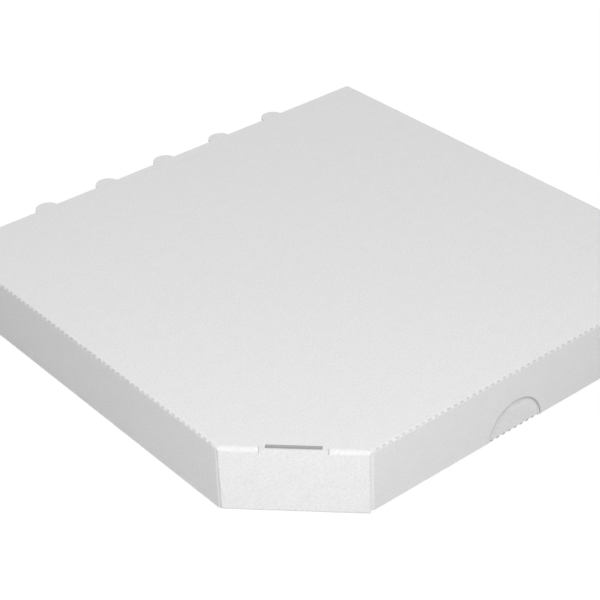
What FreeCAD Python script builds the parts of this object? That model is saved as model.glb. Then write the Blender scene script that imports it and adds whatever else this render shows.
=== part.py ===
import FreeCAD, Part
import math
import os

# Die-cut pizza box of white fine-flute board, shown closed.
# Millimetres, +Z up. The origin is the middle of the 330 x 330 footprint, on the table.
# X runs to the right seen from the front, Y runs to the hinge at the back.
# The box is one folded blank. It is written as two folded sheets that meet at the
# hinge crease: the tray, and the lid with its flaps.

# Driving sizes of the closed box, over the outside faces of the lid flaps
box_width = 330.0
box_depth = 330.0
box_height = 42.0
corner_cut = 56.5

# The board and its creases
board = 1.3
sharp_bend = 0.5
rolled_bend = 0.4
soft_bend = 1.3
layer_gap = 0.15
knife_kerf = 0.3
neutral_share = 0.4
crease_cut_pitch = 4.67
crease_cut_length = 2.3

# Clearances between the lid and the tray
lid_play = 0.6
lid_rest_gap = 0.3
flap_floor_gap = 0.3
front_flap_floor_gap = 2.2

# Lid: end tabs, lock at the cut corners, thumb notch, round tabs at the hinge
end_tab_length = 37.0
end_tab_taper = 6.0
corner_flap_relief = 0.15
tongue_width = 37.2
tongue_gap = 0.05
slot_width = 30.0
lock_tab_clearance = 0.5
lock_tab_sink = 1.2
notch_radius = 20.0
notch_centre_height = 1.2
flap_rear_taper = 5.0
flap_rear_gap = 0.5
round_tab_count = 5
round_tab_pitch = 46.8
round_tab_radius = 7.8
round_tab_inset = 0.6
round_tab_kerf = 0.6

# Tray: end tabs, lock tongues of the rolled front wall, edge heights
tray_tab_length = 37.0
corner_panel_lift = 0.4
front_tongue_count = 2
front_tongue_pitch = 110.0
front_tongue_width = 30.0
front_tongue_lift = 0.3

# Sizes that follow
half_width = box_width / 2
half_depth = box_depth / 2
rolled_stack = 3 * board + 2 * layer_gap
sharp_outside = board + sharp_bend
rolled_outside = board + rolled_bend
soft_outside = board + soft_bend
crease_nick = sharp_outside - (sharp_bend + neutral_share * board) * math.pi / 4
wall_top = box_height - board - lid_rest_gap
tray_half_width = half_width - board - lid_play
tray_front = half_depth - board - lid_play
tray_corner_depth = rolled_stack + lid_play
overlap = 6.0
diagonal = math.sqrt(2.0)
UP = FreeCAD.Vector(0, 0, 1)


def vec(x, y, z):
    return FreeCAD.Vector(x, y, z)


def folded_strip(corners, bends, run):
    """Board folded along parallel creases: the outer face follows the corners,
    each bend has its outside radius, and the section is pushed along run."""
    ways = [(b - a).normalize() for a, b in zip(corners, corners[1:])]
    along = vec(run.x, run.y, run.z).normalize()
    inward = [way.cross(along) for way in ways]
    if inward[0].dot(ways[1]) < 0:
        inward = [-side for side in inward]
    outer = []
    inner = []
    start = corners[0]
    inner_start = corners[0] + inward[0] * board
    for index, radius in enumerate(bends):
        corner = corners[index + 1]
        before = ways[index]
        after = ways[index + 1]
        half_turn = before.getAngle(after) / 2
        to_centre = (after - before).normalize()
        centre = corner + to_centre * (radius / math.cos(half_turn))
        for edges, size, begin in ((outer, radius, start), (inner, radius - board, inner_start)):
            enter = centre - inward[index] * size
            leave = centre - inward[index + 1] * size
            middle = centre - to_centre * size
            edges.append(Part.LineSegment(begin, enter).toShape())
            edges.append(Part.Arc(enter, middle, leave).toShape())
        start = centre - inward[index + 1] * radius
        inner_start = centre - inward[index + 1] * (radius - board)
    end = corners[-1]
    inner_end = end + inward[-1] * board
    outer.append(Part.LineSegment(start, end).toShape())
    inner.append(Part.LineSegment(inner_start, inner_end).toShape())
    ends = [
        Part.LineSegment(corners[0], corners[0] + inward[0] * board).toShape(),
        Part.LineSegment(end, inner_end).toShape(),
    ]
    wire = Part.Wire(Part.__sortEdges__(outer + inner + ends))
    return Part.Face(wire).extrude(run)


def prism(points, run):
    """Flat outline pushed along run."""
    return Part.Face(Part.makePolygon(points + points[:1])).extrude(run)


def block(low, high):
    return Part.makeBox(high.x - low.x, high.y - low.y, high.z - low.z, low)


def corner_point(depth, side, z):
    """Point at the left front cut corner: depth inward from the lid's outer
    corner face, side along that face from its middle towards the front."""
    middle = (corner_cut / 2) - half_width
    return vec(middle + (depth + side) / diagonal,
               corner_cut / 2 - half_depth + (depth - side) / diagonal, z)


def corner_block(depths, sides, heights):
    """Upright block square to the left front cut corner."""
    outline = [
        corner_point(depths[0], sides[0], heights[0]),
        corner_point(depths[1], sides[0], heights[0]),
        corner_point(depths[1], sides[1], heights[0]),
        corner_point(depths[0], sides[1], heights[0]),
    ]
    return prism(outline, UP * (heights[1] - heights[0]))


def cut_corner_panel(side, front, rear, corner_depth, z):
    """Flat panel with its two front corners cut, as thick as the board."""
    reach = corner_cut + corner_depth * diagonal
    side_cut_y = reach - half_depth - (half_width - side)
    front_cut_x = half_width - reach + (half_depth - front)
    outline = [
        vec(-side, rear, z),
        vec(-side, side_cut_y, z),
        vec(-front_cut_x, -front, z),
        vec(front_cut_x, -front, z),
        vec(side, side_cut_y, z),
        vec(side, rear, z),
    ]
    return prism(outline, UP * board)


def mirrored_left_right(shape):
    return shape.mirror(vec(0, 0, 0), vec(1, 0, 0))


def mirrored_across_corner(shape):
    """The same piece on the other side of the left front cut corner."""
    return shape.mirror(corner_point(0, 0, 0), vec(1, -1, 0))


def with_right_hand_copy(shape):
    return shape.fuse(mirrored_left_right(shape))


def round_tab_places():
    first = -(round_tab_count - 1) / 2
    return [(first + index) * round_tab_pitch for index in range(round_tab_count)]


def crease_cut_places(low, high):
    """Starts of the short knife cuts along a cut crease, centred on its length."""
    count = int((high - low) / crease_cut_pitch)
    first = (low + high - (count - 1) * crease_cut_pitch - crease_cut_length) / 2
    return [first + index * crease_cut_pitch for index in range(count)]


def side_crease_nicks(low, high):
    """Corners that gape open at the cuts of the lid's left crease. A cut edge
    doesn't bend, so it stands short of the corner and leaves a square nick."""
    return [block(vec(-half_width - board, y, box_height - crease_nick),
                  vec(crease_nick - half_width, y + crease_cut_length, box_height + board))
            for y in crease_cut_places(low, high)]


def front_crease_nicks(face_y, height, rise, reach):
    """The same nicks along a front crease at the given face and height."""
    low, high = sorted((height - rise * crease_nick, height + rise * board))
    return [block(vec(x, face_y - board, low),
                  vec(x + crease_cut_length, face_y + crease_nick, high))
            for x in crease_cut_places(-reach, reach)]


def side_crease_and_flap():
    """Left flap of the lid, folded down from the top panel."""
    corner_y = corner_cut - half_depth
    bend_y = corner_y + (board + layer_gap) * diagonal + sharp_outside * math.tan(math.pi / 8)
    flap = folded_strip(
        [vec(-half_width + overlap, bend_y, box_height),
         vec(-half_width, bend_y, box_height),
         vec(-half_width, bend_y, flap_floor_gap)],
        [sharp_outside],
        vec(0, half_depth - flap_rear_gap - bend_y, 0))
    rear = half_depth - flap_rear_gap
    taper = prism(
        [vec(-half_width - 1, rear, box_height - sharp_outside),
         vec(-half_width - 1, rear - flap_rear_taper, 0),
         vec(-half_width - 1, rear + 1, 0),
         vec(-half_width - 1, rear + 1, box_height - sharp_outside)],
        vec(board + 2, 0, 0))
    return flap.cut([taper] + side_crease_nicks(bend_y, rear))


def crease_end():
    """Short stretch of the left crease that runs on to the cut corner."""
    corner_y = corner_cut - half_depth
    run = overlap / 2
    low = box_height - sharp_outside - layer_gap
    return folded_strip(
        [vec(-half_width + overlap, corner_y + knife_kerf, box_height),
         vec(-half_width, corner_y + knife_kerf, box_height),
         vec(-half_width, corner_y + knife_kerf, low)],
        [sharp_outside],
        vec(0, run, 0))


def lid_end_tab(floor_gap):
    """End tab of the left flap, turned in behind the corner flap. Its fold ends
    at the flap's lower edge, and the tab clears the corner flap's roll."""
    depth = board + layer_gap
    bend_side = -corner_cut / diagonal - depth
    fold = corner_point(depth, bend_side, floor_gap)
    top = box_height - soft_outside
    low = max(floor_gap, flap_floor_gap + board + layer_gap)
    side_edge = corner_flap_side() + layer_gap
    bend = folded_strip(
        [fold + vec(0, overlap, 0),
         fold,
         corner_point(depth, -side_edge, floor_gap)],
        [sharp_outside],
        UP * (box_height - sharp_outside - floor_gap))
    free_end = bend_side + end_tab_length
    tab = prism(
        [corner_point(depth, -side_edge - layer_gap, low),
         corner_point(depth, free_end - end_tab_taper, low),
         corner_point(depth, free_end, low + end_tab_taper),
         corner_point(depth, free_end, top - end_tab_taper),
         corner_point(depth, free_end - end_tab_taper, top),
         corner_point(depth, -side_edge - layer_gap, top)],
        corner_point(board, 0, 0) - corner_point(0, 0, 0))
    return bend.fuse(tab)


def corner_flap_side():
    """Half the width of the corner flap along the cut corner."""
    return corner_cut / diagonal - corner_flap_relief


def corner_flap():
    """Corner flap of the lid: down, rolled under the end tabs, up again inside,
    and locked by a tab in the slot behind its own standing tongue."""
    side = corner_flap_side()
    inner_top = box_height - board - lid_rest_gap
    flap = folded_strip(
        [corner_point(rolled_stack + overlap, -side, box_height),
         corner_point(0, -side, box_height),
         corner_point(0, -side, flap_floor_gap),
         corner_point(rolled_stack, -side, flap_floor_gap),
         corner_point(rolled_stack, -side, inner_top)],
        [soft_outside, rolled_outside, rolled_outside],
        corner_point(0, side, 0) - corner_point(0, -side, 0))
    half_tongue = tongue_width / 2
    half_slot = slot_width / 2
    crease_low = box_height - soft_outside
    relief = corner_block((-1, soft_outside + knife_kerf), (-half_tongue, half_tongue),
                          (crease_low, box_height + 1))
    inner_panel = (rolled_stack - board - layer_gap / 2, rolled_stack + 1)
    kept = corner_block(inner_panel, (-half_tongue, half_tongue), (crease_low, inner_top))
    flap = flap.cut(relief.cut(kept))
    lip = corner_block((board + tongue_gap, soft_outside + overlap),
                       (-half_tongue + knife_kerf, half_tongue - knife_kerf),
                       (box_height - board, box_height))
    tongue = corner_block((0, board),
                          (-half_tongue + knife_kerf, half_tongue - knife_kerf),
                          (crease_low - overlap, box_height))
    slot = corner_block((board, rolled_stack + layer_gap), (-half_slot, half_slot),
                        (box_height - board - 0.1, box_height + 1))
    half_lock = half_slot - lock_tab_clearance
    lock = corner_block((rolled_stack - board, rolled_stack), (-half_lock, half_lock),
                        (inner_top - overlap, box_height - lock_tab_sink))
    return flap.fuse([lip, tongue]).cut(slot).fuse(lock), relief


def make_lid():
    top = cut_corner_panel(half_width - sharp_outside, half_depth - sharp_outside,
                           half_depth, soft_outside, box_height - board)
    flap, relief = corner_flap()
    top = top.cut([relief, mirrored_left_right(relief)])
    side = side_crease_and_flap().fuse([crease_end(), lid_end_tab(flap_floor_gap)])
    front_end = crease_end().fuse(lid_end_tab(front_flap_floor_gap))
    front_end = mirrored_across_corner(front_end)
    corner = side.fuse([front_end, flap])
    bend_x = half_width - corner_cut - (board + layer_gap) * diagonal
    bend_x = bend_x - sharp_outside * math.tan(math.pi / 8)
    front = folded_strip(
        [vec(-bend_x, -half_depth + overlap, box_height),
         vec(-bend_x, -half_depth, box_height),
         vec(-bend_x, -half_depth, front_flap_floor_gap)],
        [sharp_outside],
        vec(2 * bend_x, 0, 0))
    front = front.cut(front_crease_nicks(-half_depth, box_height, 1, bend_x))
    lid = top.fuse([corner, mirrored_left_right(corner), front])
    notch = Part.makeCylinder(notch_radius, 3 * board,
                              vec(0, -half_depth - board, notch_centre_height), vec(0, 1, 0))
    lid = lid.cut(notch)
    crease = half_depth - box_height
    mitre = prism(
        [vec(-box_width, crease + box_height - 2 * board, box_height - 2 * board),
         vec(-box_width, crease + box_height + board, box_height + board),
         vec(-box_width, crease + box_height + board, box_height - 2 * board)],
        vec(2 * box_width, 0, 0))
    lid = lid.cut(mitre)
    tabs = [Part.makeCylinder(round_tab_radius, board,
                              vec(x, half_depth - round_tab_inset, box_height - board))
            for x in round_tab_places()]
    return lid.fuse(tabs).removeSplitter()


def tray_side_strip():
    """Left wall of the tray with its corner panel and both end tabs, one strip
    bent at upright creases."""
    rear_y = half_depth - board - layer_gap
    front_y = board + layer_gap - tray_front
    reach = corner_cut + tray_corner_depth * diagonal - half_width - half_depth
    side_corner_y = reach + tray_half_width
    front_corner_x = reach - front_y
    strip = folded_strip(
        [vec(tray_tab_length - tray_half_width, rear_y, corner_panel_lift),
         vec(-tray_half_width, rear_y, corner_panel_lift),
         vec(-tray_half_width, side_corner_y, corner_panel_lift),
         vec(front_corner_x, front_y, corner_panel_lift),
         vec(front_corner_x + tray_tab_length, front_y, corner_panel_lift)],
        [sharp_outside, sharp_outside, sharp_outside],
        UP * (wall_top - corner_panel_lift))
    bend = sharp_outside * math.tan(math.pi / 8)
    tab_start = front_corner_x + bend + layer_gap
    tab_top = wall_top - rolled_outside
    far = box_width
    trims = [
        block(vec(-far, side_corner_y + bend, -1), vec(0, far, sharp_outside)),
        block(vec(tab_start, -far, -1), vec(0, 0, sharp_outside)),
        block(vec(tab_start, -far, tab_top), vec(0, 0, box_height)),
    ]
    crease = folded_strip(
        [vec(overlap - tray_half_width, side_corner_y + bend, 0),
         vec(-tray_half_width, side_corner_y + bend, 0),
         vec(-tray_half_width, side_corner_y + bend, sharp_outside + overlap)],
        [sharp_outside],
        vec(0, rear_y - sharp_outside - side_corner_y - bend, 0))
    return strip.cut(trims).fuse(crease)


def make_tray():
    inner_edge = tray_corner_depth + board + layer_gap
    bottom = cut_corner_panel(tray_half_width - sharp_outside, tray_front - sharp_outside,
                              half_depth - sharp_outside, inner_edge, 0)
    rear = folded_strip(
        [vec(-tray_half_width, half_depth - overlap, 0),
         vec(-tray_half_width, half_depth, 0),
         vec(-tray_half_width, half_depth, box_height)],
        [sharp_outside],
        vec(2 * tray_half_width, 0, 0))
    crease = half_depth - box_height + lid_rest_gap * diagonal
    mitre = prism(
        [vec(-box_width, half_depth - 2 * board, half_depth - 2 * board - crease),
         vec(-box_width, half_depth + board, half_depth + board - crease),
         vec(-box_width, half_depth - 2 * board, half_depth + board - crease)],
        vec(2 * box_width, 0, 0))
    vents = [Part.makeCylinder(round_tab_radius + round_tab_kerf, 3 * board,
                               vec(x, half_depth + board, box_height + round_tab_inset),
                               vec(0, -1, 0))
             for x in round_tab_places()]
    rear = rear.cut([mitre] + vents)
    reach = corner_cut + tray_corner_depth * diagonal - half_width - half_depth
    front_half = -(reach + tray_front) - knife_kerf
    inner_face = rolled_stack - tray_front
    front = folded_strip(
        [vec(-front_half, overlap - tray_front, 0),
         vec(-front_half, -tray_front, 0),
         vec(-front_half, -tray_front, wall_top),
         vec(-front_half, inner_face, wall_top),
         vec(-front_half, inner_face, board + layer_gap)],
        [sharp_outside, rolled_outside, rolled_outside],
        vec(2 * front_half, 0, 0))
    front = front.cut(front_crease_nicks(-tray_front, 0, -1, front_half))
    slots = []
    tongues = []
    for index in range(front_tongue_count):
        x = (index - (front_tongue_count - 1) / 2) * front_tongue_pitch
        half = front_tongue_width / 2
        back = inner_face
        slots.append(block(vec(x - half - layer_gap, back - board - layer_gap, -1),
                           vec(x + half + layer_gap, back + layer_gap, board + layer_gap)))
        tongues.append(block(vec(x - half, back - board, front_tongue_lift),
                             vec(x + half, back, board + overlap)))
    sides = with_right_hand_copy(tray_side_strip())
    tray = bottom.fuse([rear, front]).cut(slots).fuse([sides] + tongues)
    return tray.removeSplitter()


parts = {
    "tray": make_tray(),
    "lid": make_lid(),
}

os.makedirs("parts", exist_ok=True)
for name, shape in parts.items():
    solid = shape.Solids[0]
    print(name, "solids", len(shape.Solids), "valid", shape.isValid(),
          "volume", round(shape.Volume), "faces", len(shape.Faces))
    print(name, "box", shape.BoundBox)
    solid.exportStep("parts/" + name + ".step")
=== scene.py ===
import bmesh
import bpy
import math
from mathutils import Matrix, Vector


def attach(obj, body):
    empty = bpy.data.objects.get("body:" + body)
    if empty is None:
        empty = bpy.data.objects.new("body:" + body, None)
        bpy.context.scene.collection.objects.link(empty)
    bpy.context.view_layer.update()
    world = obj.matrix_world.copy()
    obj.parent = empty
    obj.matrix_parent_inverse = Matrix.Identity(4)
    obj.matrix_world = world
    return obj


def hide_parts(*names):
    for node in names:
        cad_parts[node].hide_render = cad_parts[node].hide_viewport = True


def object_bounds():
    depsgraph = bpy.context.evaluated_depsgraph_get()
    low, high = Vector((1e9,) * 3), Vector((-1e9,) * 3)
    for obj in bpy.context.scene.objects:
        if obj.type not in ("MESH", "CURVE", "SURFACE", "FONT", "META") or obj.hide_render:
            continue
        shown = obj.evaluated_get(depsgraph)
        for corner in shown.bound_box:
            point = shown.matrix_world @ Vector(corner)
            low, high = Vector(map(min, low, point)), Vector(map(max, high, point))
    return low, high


# A closed die-cut pizza box of white fine-flute board, in metres.
# Two folded sheets of one blank, the tray and the lid, joined along the hinge crease.
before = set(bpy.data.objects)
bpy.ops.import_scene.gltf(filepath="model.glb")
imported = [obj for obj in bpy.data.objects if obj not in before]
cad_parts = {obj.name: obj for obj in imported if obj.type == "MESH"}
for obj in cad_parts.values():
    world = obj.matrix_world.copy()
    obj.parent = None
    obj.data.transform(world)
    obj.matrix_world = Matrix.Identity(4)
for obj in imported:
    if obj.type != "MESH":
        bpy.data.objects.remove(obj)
cad_low, cad_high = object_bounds()


# Tray: the lower half of the blank. Bottom, rear wall with five vents, side walls that
# turn the cut corners, and a rolled front wall. White clay-coated liners on both faces
# of a fine flute, die-cut, so the flute shows wherever the knife went through.
board = 0.0013
liner = 0.0002
flute_pitch = 0.0034
medium_thickness = 0.00014
cut_depth = 0.0007
crease_nick = 0.0011
half_width = cad_high.x
top_level = cad_high.z


def grey(tone):
    return tone, tone, tone, 1


def node(owner, kind, place, **sockets):
    """A shader node with values on its own sockets."""
    made = owner.node_tree.nodes.new(kind)
    made.location = place
    for name, value in sockets.items():
        made.inputs[name.replace("_", " ")].default_value = value
    return made


def math_node(owner, operation, place, second=0.5):
    """A Math node. The second number counts where nothing is linked to it."""
    made = node(owner, "ShaderNodeMath", place)
    made.operation = operation
    made.inputs[1].default_value = second
    return made


def vector_node(owner, operation, place):
    made = node(owner, "ShaderNodeVectorMath", place)
    made.operation = operation
    return made


def colour_ramp(owner, place, stops):
    """A colour ramp, from its stops as positions and colours in rising order."""
    made = node(owner, "ShaderNodeValToRGB", place)
    points = made.color_ramp.elements
    points[0].position, points[0].color = stops[0]
    points[-1].position, points[-1].color = stops[-1]
    for position, colour in stops[1:-1]:
        points.new(position).color = colour
    return made


def new_material(name, roughness, specular):
    """A material with its shader and the call that links its nodes."""
    material = bpy.data.materials.new(name)
    material.use_nodes = True
    shader = material.node_tree.nodes["Principled BSDF"]
    shader.inputs["Roughness"].default_value = roughness
    shader.inputs["Specular IOR Level"].default_value = specular
    return material, shader, material.node_tree.links.new


def notch_painted_shade(material, place, paper):
    """The paper's colour with a painted shade line round the thumb notch, standing for the
    shadow in the gap behind the lid's front flap. Its centre lies a little to the right,
    so the line is wider there."""
    rim_centre = Vector((0.0003, 0, 0.0012))
    flap_plane = (1, 0, 1)
    flap_face = -0.1649
    ramp_span = 0.04
    rim_shades = ((0.0199, 0.42), (0.0206, 0.85), (0.0209, 1.0))
    link = material.node_tree.links.new
    from_centre = vector_node(material, "MULTIPLY_ADD", (-1300, 600))
    from_centre.inputs[1].default_value = flap_plane
    from_centre.inputs[2].default_value = -rim_centre
    radius = vector_node(material, "LENGTH", (-1100, 600))
    share = math_node(material, "DIVIDE", (-1000, 450), ramp_span)
    shade = colour_ramp(material, (-900, 600),
                        [(size / ramp_span, grey(tone)) for size, tone in rim_shades])
    split = node(material, "ShaderNodeSeparateXYZ", (-1300, 800))
    behind_face = math_node(material, "GREATER_THAN", (-1100, 800), flap_face)
    kept = math_node(material, "MAXIMUM", (-700, 700))
    painted_shade_colour = vector_node(material, "SCALE", (-300, 300))
    link(place.outputs["Object"], from_centre.inputs[0])
    link(from_centre.outputs["Vector"], radius.inputs[0])
    link(radius.outputs["Value"], share.inputs[0])
    link(share.outputs["Value"], shade.inputs["Fac"])
    link(place.outputs["Object"], split.inputs["Vector"])
    link(split.outputs["Y"], behind_face.inputs[0])
    link(shade.outputs["Color"], kept.inputs[0])
    link(behind_face.outputs["Value"], kept.inputs[1])
    link(paper.outputs["Color"], painted_shade_colour.inputs[0])
    link(kept.outputs["Value"], painted_shade_colour.inputs["Scale"])
    return painted_shade_colour.outputs["Vector"]


def flute_relief(material, formation):
    """Height of the liner: its own formation, with the flutes under it as a low wave
    across the blank."""
    wave_share = 0.10
    link = material.node_tree.links.new
    blank = node(material, "ShaderNodeUVMap", (-1300, -350))
    blank.uv_map = "blank"
    across = node(material, "ShaderNodeSeparateXYZ", (-1100, -350))
    turns = math_node(material, "MULTIPLY", (-900, -350), 2 * math.pi / flute_pitch)
    wave = math_node(material, "SINE", (-700, -350))
    relief = math_node(material, "MULTIPLY_ADD", (-500, -300), wave_share)
    link(blank.outputs["UV"], across.inputs["Vector"])
    link(across.outputs["X"], turns.inputs[0])
    link(turns.outputs["Value"], wave.inputs[0])
    link(wave.outputs["Value"], relief.inputs[0])
    link(formation.outputs["Result"], relief.inputs[2])
    return relief.outputs["Value"]


def coated_paper():
    """White clay-coated liner: cloudy formation, short fibres laid along the flutes,
    and the flutes just felt through it as a washboard."""
    material, shader, link = new_material("coated_paper", roughness=0.62, specular=0.35)
    place = node(material, "ShaderNodeTexCoord", (-1500, 0))
    cloud = node(material, "ShaderNodeTexNoise", (-1100, 300), Scale=120.0, Detail=4.0)
    grain = node(material, "ShaderNodeMapping", (-1300, 0), Scale=(1.0, 0.8, 1.0))
    fibre = node(material, "ShaderNodeTexNoise", (-1100, 0), Scale=1000.0, Detail=2.0)
    formation = node(material, "ShaderNodeMix", (-850, 150), Factor=0.85)
    tone = colour_ramp(material, (-600, 150), ((0.25, grey(0.758)), (0.75, grey(0.904))))
    gloss = node(material, "ShaderNodeMapRange", (-600, -100), To_Min=0.54, To_Max=0.70)
    bump = node(material, "ShaderNodeBump", (-300, -250), Strength=0.5, Distance=0.00004)
    link(place.outputs["Object"], cloud.inputs["Vector"])
    link(place.outputs["Object"], grain.inputs["Vector"])
    link(grain.outputs["Vector"], fibre.inputs["Vector"])
    link(cloud.outputs["Fac"], formation.inputs["A"])
    link(fibre.outputs["Fac"], formation.inputs["B"])
    link(formation.outputs["Result"], tone.inputs["Fac"])
    # the paper's tone, with the painted shade line round the thumb notch
    link(notch_painted_shade(material, place, tone), shader.inputs["Base Color"])
    link(fibre.outputs["Fac"], gloss.inputs["Value"])
    link(gloss.outputs["Result"], shader.inputs["Roughness"])
    link(flute_relief(material, formation), bump.inputs["Height"])
    link(bump.outputs["Normal"], shader.inputs["Normal"])
    return material


def cut_paper(name, dark_tone, light_tone):
    """Paper seen where the knife went through: rough, with loose short fibres."""
    material, shader, link = new_material(name, roughness=0.85, specular=0.2)
    place = node(material, "ShaderNodeTexCoord", (-900, 0))
    fibre = node(material, "ShaderNodeTexNoise", (-700, 0), Scale=3500.0, Detail=4.0)
    tone = colour_ramp(material, (-500, 0), ((0.3, dark_tone), (0.7, light_tone)))
    bump = node(material, "ShaderNodeBump", (-300, -250), Strength=0.6, Distance=0.00008)
    link(place.outputs["Object"], fibre.inputs["Vector"])
    link(fibre.outputs["Fac"], tone.inputs["Fac"])
    link(tone.outputs["Color"], shader.inputs["Base Color"])
    link(fibre.outputs["Fac"], bump.inputs["Height"])
    link(bump.outputs["Normal"], shader.inputs["Normal"])
    return material


board_finish = [
    coated_paper(),
    # the cut edges' own tone, also used as a lighter painted shade in the front corner
    # gaps
    cut_paper("liner_edge_and_gap_shade", grey(0.74), grey(0.85)),
    cut_paper("fluting_paper", (0.60, 0.59, 0.57, 1), (0.74, 0.73, 0.71, 1)),
    # painted shade for cuts and gaps that light hardly reaches
    cut_paper("crease_shade", grey(0.62), grey(0.75)),
    # painted shade inside the lock slots
    cut_paper("slot_shade", grey(0.36), grey(0.46)),
]
face_slot, edge_and_gap_shade_slot, fluting_slot, crease_slot, lock_slot = range(len(board_finish))


def bare_sheet(name):
    """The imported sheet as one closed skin, all of it paper face."""
    weld_distance = 0.000001
    sheet = bmesh.new()
    sheet.from_mesh(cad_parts[name].data)
    bmesh.ops.remove_doubles(sheet, verts=sheet.verts, dist=weld_distance)
    for face in sheet.faces:
        face.material_index = face_slot
    return sheet


def join_panels(sheet):
    """Joins the triangles of each flat panel, up to where the finish changes."""
    flat_angle = math.radians(1)
    bmesh.ops.dissolve_limit(sheet, angle_limit=flat_angle, verts=sheet.verts,
                             edges=sheet.edges, delimit={"MATERIAL"})


def shade_crease_cuts(sheet):
    """Paints shade into the short cuts that gape open along a folded crease, top or
    bottom.
    """
    square_on = 0.999
    outer = max(abs(vert.co.x) for vert in sheet.verts)
    for face in sheet.faces:
        in_crease = all(outer - max(abs(vert.co.x), -vert.co.y) <= crease_nick
                        and min(top_level - vert.co.z, vert.co.z) <= crease_nick
                        for vert in face.verts)
        if in_crease and max(abs(part) for part in face.normal) >= square_on:
            face.material_index = crease_slot


def cut_edges(sheet):
    """The strips where the knife went through the board: as wide as the board is
    thick, and square to the panel on both sides."""
    least_round = 6 * board
    least_width, most_width = 0.65 * board, 1.02 * board
    square_share = 0.9
    angle_play = 0.15
    found = []
    for face in sheet.faces:
        around = face.calc_perimeter()
        width = 2 * face.calc_area() / around
        square = sum(edge.calc_length() for edge in face.edges
                     if abs(edge.calc_face_angle_signed(0) - math.pi / 2) < angle_play)
        if (face.material_index == face_slot and around > least_round
                and least_width < width < most_width and square > square_share * around):
            found.append(face)
    return found


def flute_axes(normal):
    """Directions across and along the flutes on a panel, from how it is folded."""
    underside = -0.01
    upward = -normal if normal.z < underside else normal
    turn = Vector((0, 0, 1)).rotation_difference(upward)
    return turn @ Vector((1, 0, 0)), turn @ Vector((0, 1, 0))


def fluting_strip(sheet, floor):
    """The waved paper between the liners, along one straight stretch of a cut edge.
    A cut along the flutes shows no wave, so it gets none."""
    least_crossing = 0.3
    steps_per_wave = 8
    strip_height = 0.92 * cut_depth
    longest = max(floor.edges, key=lambda edge: edge.calc_length())
    along = (longest.verts[1].co - longest.verts[0].co).normalized()
    between = floor.normal.cross(along).normalized()
    offsets = [vert.co.dot(between) for vert in floor.verts]
    gap = max(offsets) - min(offsets)
    across, _ = flute_axes(between)
    crossing = abs(along.dot(across))
    if gap > board or crossing < least_crossing:
        return
    lengths = [vert.co.dot(along) for vert in floor.verts]
    reach = max(lengths) - min(lengths)
    steps = max(2, round(steps_per_wave * reach * crossing / flute_pitch))
    start = floor.calc_center_median()
    start += along * (min(lengths) - start.dot(along))
    start += between * ((max(offsets) + min(offsets)) / 2 - start.dot(between))
    rise = (gap - medium_thickness) / 2
    strip = bmesh.ops.create_grid(sheet, x_segments=steps, y_segments=1, size=0.5)["verts"]
    for vert in strip:
        spot = start + along * ((vert.co.x + 0.5) * reach)
        phase = 2 * math.pi * spot.dot(across) / flute_pitch
        height = (vert.co.y + 0.5) * strip_height
        vert.co = spot + between * (rise * math.sin(phase)) + floor.normal * height
    faces = list(dict.fromkeys(face for vert in strip for face in vert.link_faces))
    thick = bmesh.ops.solidify(sheet, geom=faces, thickness=medium_thickness)["geom"]
    for face in faces + [item for item in thick if isinstance(item, bmesh.types.BMFace)]:
        face.material_index = fluting_slot


def open_edges(sheet, edges):
    """Opens cut edges between their liners and sets the fluting in them."""
    lips = bmesh.ops.inset_region(sheet, faces=edges, thickness=liner, depth=0,
                                  use_even_offset=True, use_boundary=True)["faces"]
    walls = bmesh.ops.inset_region(sheet, faces=edges, thickness=0, depth=-cut_depth,
                                   use_even_offset=True, use_boundary=True)["faces"]
    for face in lips + walls + edges:
        face.material_index = edge_and_gap_shade_slot
    for floor in edges:
        fluting_strip(sheet, floor)


def shape_object(name, shape, finish):
    """An object at the origin with a bmesh's shape and its list of materials."""
    mesh = bpy.data.meshes.new(name)
    shape.to_mesh(mesh)
    for material in finish:
        mesh.materials.append(material)
    made = bpy.data.objects.new(name, mesh)
    bpy.context.scene.collection.objects.link(made)
    return made


def sheet_piece(name, sheet):
    """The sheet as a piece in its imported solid's place, with its folds shaded round."""
    fold_angle = math.radians(40)
    blank = sheet.loops.layers.uv.new("blank")
    for face in sheet.faces:
        across, lengthways = flute_axes(face.normal)
        for loop in face.loops:
            loop[blank].uv = loop.vert.co.dot(across), loop.vert.co.dot(lengthways)
        face.smooth = True
    piece = shape_object(name + "_sheet", sheet, board_finish)
    sheet.free()
    piece.data.set_sharp_from_angle(angle=fold_angle)
    weighted = piece.modifiers.new("flat_panels", "WEIGHTED_NORMAL")
    weighted.keep_sharp = True
    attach(piece, name)
    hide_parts(name)
    return piece


tray_skin = bare_sheet("tray")
join_panels(tray_skin)
shade_crease_cuts(tray_skin)
open_edges(tray_skin, cut_edges(tray_skin))
tray_sheet = sheet_piece("tray", tray_skin)


# Crease slits: the knife's short cuts along the tray's front crease, which gape in the
#  fold. The thumb notch shows them as dark slits at the foot of the front wall; thin
#  blocks in a painted shade tone stand for the shade inside them.
slit_pitch = 0.00467
slit_length = 0.0019
slit_depth = 0.0004
slit_low, slit_high = 0.0004, 0.0014
slit_face = -0.16313
slit_count = 44
slit_size = Matrix.Diagonal((slit_length, slit_depth, slit_high - slit_low, 1))
slits = bmesh.new()
for index in range(slit_count):
    slit_centre = ((index - (slit_count - 1) / 2) * slit_pitch, slit_face + slit_depth / 2,
                   (slit_low + slit_high) / 2)
    bmesh.ops.create_cube(slits, size=1.0,
                          matrix=Matrix.Translation(slit_centre) @ slit_size)
crease_slits = shape_object("crease_slits", slits,
                            [cut_paper("slit_shade", grey(0.46), grey(0.58))])
slits.free()
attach(crease_slits, "tray")


# Lid: the upper half of the blank. Top panel, flaps over the tray on three sides, corner
# flaps rolled under and locked through a slot, and five round tabs past the hinge.
# Depths are counted inward from a cut corner's face.
corner_cut = 0.0565
end_tab_depths = (0.0013, 0.0016)
slot_depths = (0.0014, 0.00435)
slot_half_length = 0.0150
slot_sink = 0.0011
tab_end_gap = 0.00002


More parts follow.
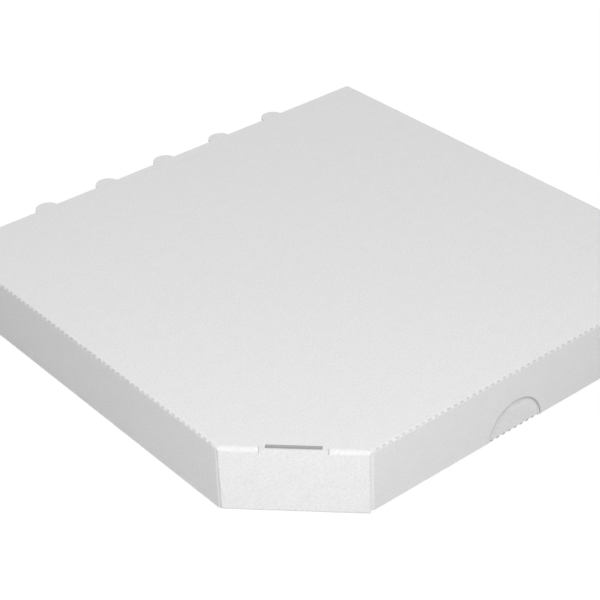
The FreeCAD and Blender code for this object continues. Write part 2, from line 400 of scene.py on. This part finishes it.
def corner_place(spot):
    """How far a point lies inward from the cut corner's face, and along that face."""
    inward_x = half_width - abs(spot.x)
    inward_y = half_width + spot.y
    depth = (inward_x + inward_y - corner_cut) / math.sqrt(2)
    side = (inward_x - inward_y) / math.sqrt(2)
    return depth, side


def lock_slot_place(hand, depths, levels):
    """Matrix that makes a unit cube a block in the lock slot of the left (-1) or
    right (1) cut corner, between two depths and two levels."""
    inward = Vector((-hand, 1, 0)).normalized()
    along = Vector((1, hand, 0)).normalized()
    centre = Vector((hand, -1, 0)) * (half_width - corner_cut / 2)
    centre += inward * sum(depths) / 2
    centre.z = sum(levels) / 2
    turn = Matrix((along, inward, Vector((0, 0, 1)))).transposed().to_4x4()
    size = Matrix.Diagonal((2 * slot_half_length, depths[1] - depths[0],
                            levels[1] - levels[0], 1))
    return Matrix.Translation(centre) @ turn @ size


def open_lock_slots(sheet):
    """Cuts both lock slots open to the lock tab's far side; the cut faces take the slot's
    painted shade.
    """
    knives = bmesh.new()
    levels = (top_level - slot_sink, top_level + slot_sink)
    for hand in (-1, 1):
        bmesh.ops.create_cube(knives, size=1.0,
                              matrix=lock_slot_place(hand, slot_depths, levels))
    for face in knives.faces:
        face.material_index = lock_slot
    blank = shape_object("lid_blank", sheet, board_finish)
    knife = shape_object("slot_knife", knives, board_finish)
    knives.free()
    cut = blank.modifiers.new("slots", "BOOLEAN")
    cut.object = knife
    cut.operation = "DIFFERENCE"
    cut.solver = "EXACT"
    sheet.clear()
    sheet.from_mesh(blank.evaluated_get(bpy.context.evaluated_depsgraph_get()).to_mesh())
    # Each object goes with its mesh
    for item in (blank, knife):
        bpy.data.meshes.remove(item.data)


def fill_lock_slots(sheet):
    """Puts the lock tab's end in each slot as its floor, in the slot's painted shade."""
    depths = (board + tab_end_gap, slot_depths[1] - tab_end_gap)
    levels = (top_level - slot_sink - board / 2, top_level - slot_sink + tab_end_gap)
    for hand in (-1, 1):
        tab_end = bmesh.ops.create_cube(sheet, size=1.0,
                                        matrix=lock_slot_place(hand, depths, levels))
        for face in {face for vert in tab_end["verts"] for face in vert.link_faces}:
            face.material_index = lock_slot


def shade_corner_gaps(sheet):
    """Paints shade on the end tabs that show in the gaps beside a corner flap. The front
    flap's gap is the wider one and gets more light, so its painted shade is the lighter
    tone of the cut edges."""
    square_on = 0.99
    for face in sheet.faces:
        middle = face.calc_center_median()
        depth, side = corner_place(middle)
        outward = Vector((math.copysign(1, middle.x), -1, 0)).normalized()
        if (end_tab_depths[0] < depth < end_tab_depths[1]
                and face.normal.dot(outward) > square_on):
            face.material_index = edge_and_gap_shade_slot if side > 0 else crease_slot


def is_tongue_top(face):
    """The standing tongue's top, pressed smooth and level with the lid."""
    level_play = 0.1 * board
    middle = face.calc_center_median()
    return top_level - middle.z < level_play and 0 < corner_place(middle)[0] < board


lid_skin = bare_sheet("lid")
open_lock_slots(lid_skin)
fill_lock_slots(lid_skin)
join_panels(lid_skin)
shade_crease_cuts(lid_skin)
shade_corner_gaps(lid_skin)
open_edges(lid_skin, [face for face in cut_edges(lid_skin) if not is_tongue_top(face)])
lid_sheet = sheet_piece("lid", lid_skin)


# Floor: a plain white sheet under the box. To the camera it is white, with only the
# shade of the box left on it.
floor_reach = 12.0
floor_drop = 0.0003


def seen_by_camera(owner):
    """1 for what the camera sees, straight, mirrored or through glass, and 0 for the
    light that falls on the box."""
    link = owner.node_tree.links.new
    rays = node(owner, "ShaderNodeLightPath", (-900, 200))
    mirrored = math_node(owner, "MAXIMUM", (-700, 200))
    through_glass = math_node(owner, "MAXIMUM", (-500, 200))
    link(rays.outputs["Is Camera Ray"], mirrored.inputs[0])
    link(rays.outputs["Is Glossy Ray"], mirrored.inputs[1])
    link(mirrored.outputs["Value"], through_glass.inputs[0])
    link(rays.outputs["Is Transmission Ray"], through_glass.inputs[1])
    return through_glass.outputs["Value"]


def paper_floor():
    """White paper that throws soft light back on the box."""
    shade_share = 0.06
    material = bpy.data.materials.new("floor_paper")
    material.use_nodes = True
    tree = material.node_tree
    link = tree.links.new
    tree.nodes.remove(tree.nodes["Principled BSDF"])
    bounce = node(material, "ShaderNodeBsdfDiffuse", (-500, 0), Color=grey(0.60))
    shaded = node(material, "ShaderNodeBsdfDiffuse", (-700, -150), Color=grey(1))
    white = node(material, "ShaderNodeEmission", (-700, -300), Strength=1.03)
    bright = node(material, "ShaderNodeMixShader", (-500, -200), Fac=shade_share)
    mixed = node(material, "ShaderNodeMixShader", (-250, 0))
    link(white.outputs["Emission"], bright.inputs[1])
    link(shaded.outputs["BSDF"], bright.inputs[2])
    link(seen_by_camera(material), mixed.inputs["Fac"])
    link(bounce.outputs["BSDF"], mixed.inputs[1])
    link(bright.outputs["Shader"], mixed.inputs[2])
    link(mixed.outputs["Shader"], tree.nodes["Material Output"].inputs["Surface"])
    return material


floor_shape = bmesh.new()
bmesh.ops.create_grid(floor_shape, x_segments=1, y_segments=1, size=floor_reach,
                      matrix=Matrix.Translation((0, 0, cad_low.z - floor_drop)))
floor = shape_object("floor", floor_shape, [paper_floor()])
floor_shape.free()


# Studio light: two softboxes one behind the other in front of the cut corner, a third
# high behind the box, and a pale room round them.
room_light = 0.05
cut_corner = (-0.136, -0.136, 0.02)
box_middle = (0, 0, 0)


def softbox(name, watts, size, distance, azimuth, elevation, target):
    """Square soft light that looks at target. Azimuth 0 stands in front of the box
    and grows towards its right-hand side."""
    turn = math.radians(azimuth)
    rise = math.radians(elevation)
    away = Vector((math.sin(turn) * math.cos(rise), -math.cos(turn) * math.cos(rise),
                   math.sin(rise)))
    lamp = bpy.data.lights.new(name, "AREA")
    lamp.energy = watts
    lamp.size = size
    holder = bpy.data.objects.new(name, lamp)
    holder.location = Vector(target) + away * distance
    holder.rotation_euler = away.to_track_quat("Z", "Y").to_euler()
    bpy.context.scene.collection.objects.link(holder)


softbox("front_softbox", watts=12.1, size=0.8, distance=1.3,
        azimuth=-38, elevation=44, target=cut_corner)
softbox("far_softbox", watts=18.5, size=1.4, distance=2.4,
        azimuth=-36, elevation=42, target=cut_corner)
softbox("rear_softbox", watts=15.0, size=1.2, distance=2.0,
        azimuth=140, elevation=55, target=box_middle)

room = bpy.data.worlds.new("room")
bpy.context.scene.world = room
room.use_nodes = True
backdrop = room.node_tree.nodes["Background"]
backdrop.inputs["Color"].default_value = grey(1)
strength = node(room, "ShaderNodeMapRange", (-300, 200), To_Min=room_light)
room.node_tree.links.new(seen_by_camera(room), strength.inputs["Value"])
room.node_tree.links.new(strength.outputs["Result"], backdrop.inputs["Strength"])


# Camera: a long lens from the front left, above the cut corner, held slightly turned.
# The aim is how far it stands to the right of and above the line to the box's middle.
camera_azimuth = math.radians(-38.5939)
camera_elevation = math.radians(33.1471)
camera_roll = math.radians(-2.2265)
camera_distance = 1.08348
aim_right = -0.01537
aim_up = 0.00741
back = Vector((math.sin(camera_azimuth) * math.cos(camera_elevation),
               -math.cos(camera_azimuth) * math.cos(camera_elevation),
               math.sin(camera_elevation)))
level = Vector((math.cos(camera_azimuth), math.sin(camera_azimuth), 0))
upright = back.cross(level)
right = level * math.cos(camera_roll) + upright * math.sin(camera_roll)
up = upright * math.cos(camera_roll) - level * math.sin(camera_roll)
stand = back * camera_distance + right * aim_right + up * aim_up
lens = bpy.data.cameras.new("camera")
lens.sensor_width = 36
lens.lens = 103.960
camera = bpy.data.objects.new("camera", lens)
camera.matrix_world = (Matrix.Translation(stand)
                       @ Matrix((right, up, back)).transposed().to_4x4())
bpy.context.scene.collection.objects.link(camera)
bpy.context.scene.camera = camera
bpy.context.scene.view_settings.view_transform = "Standard"
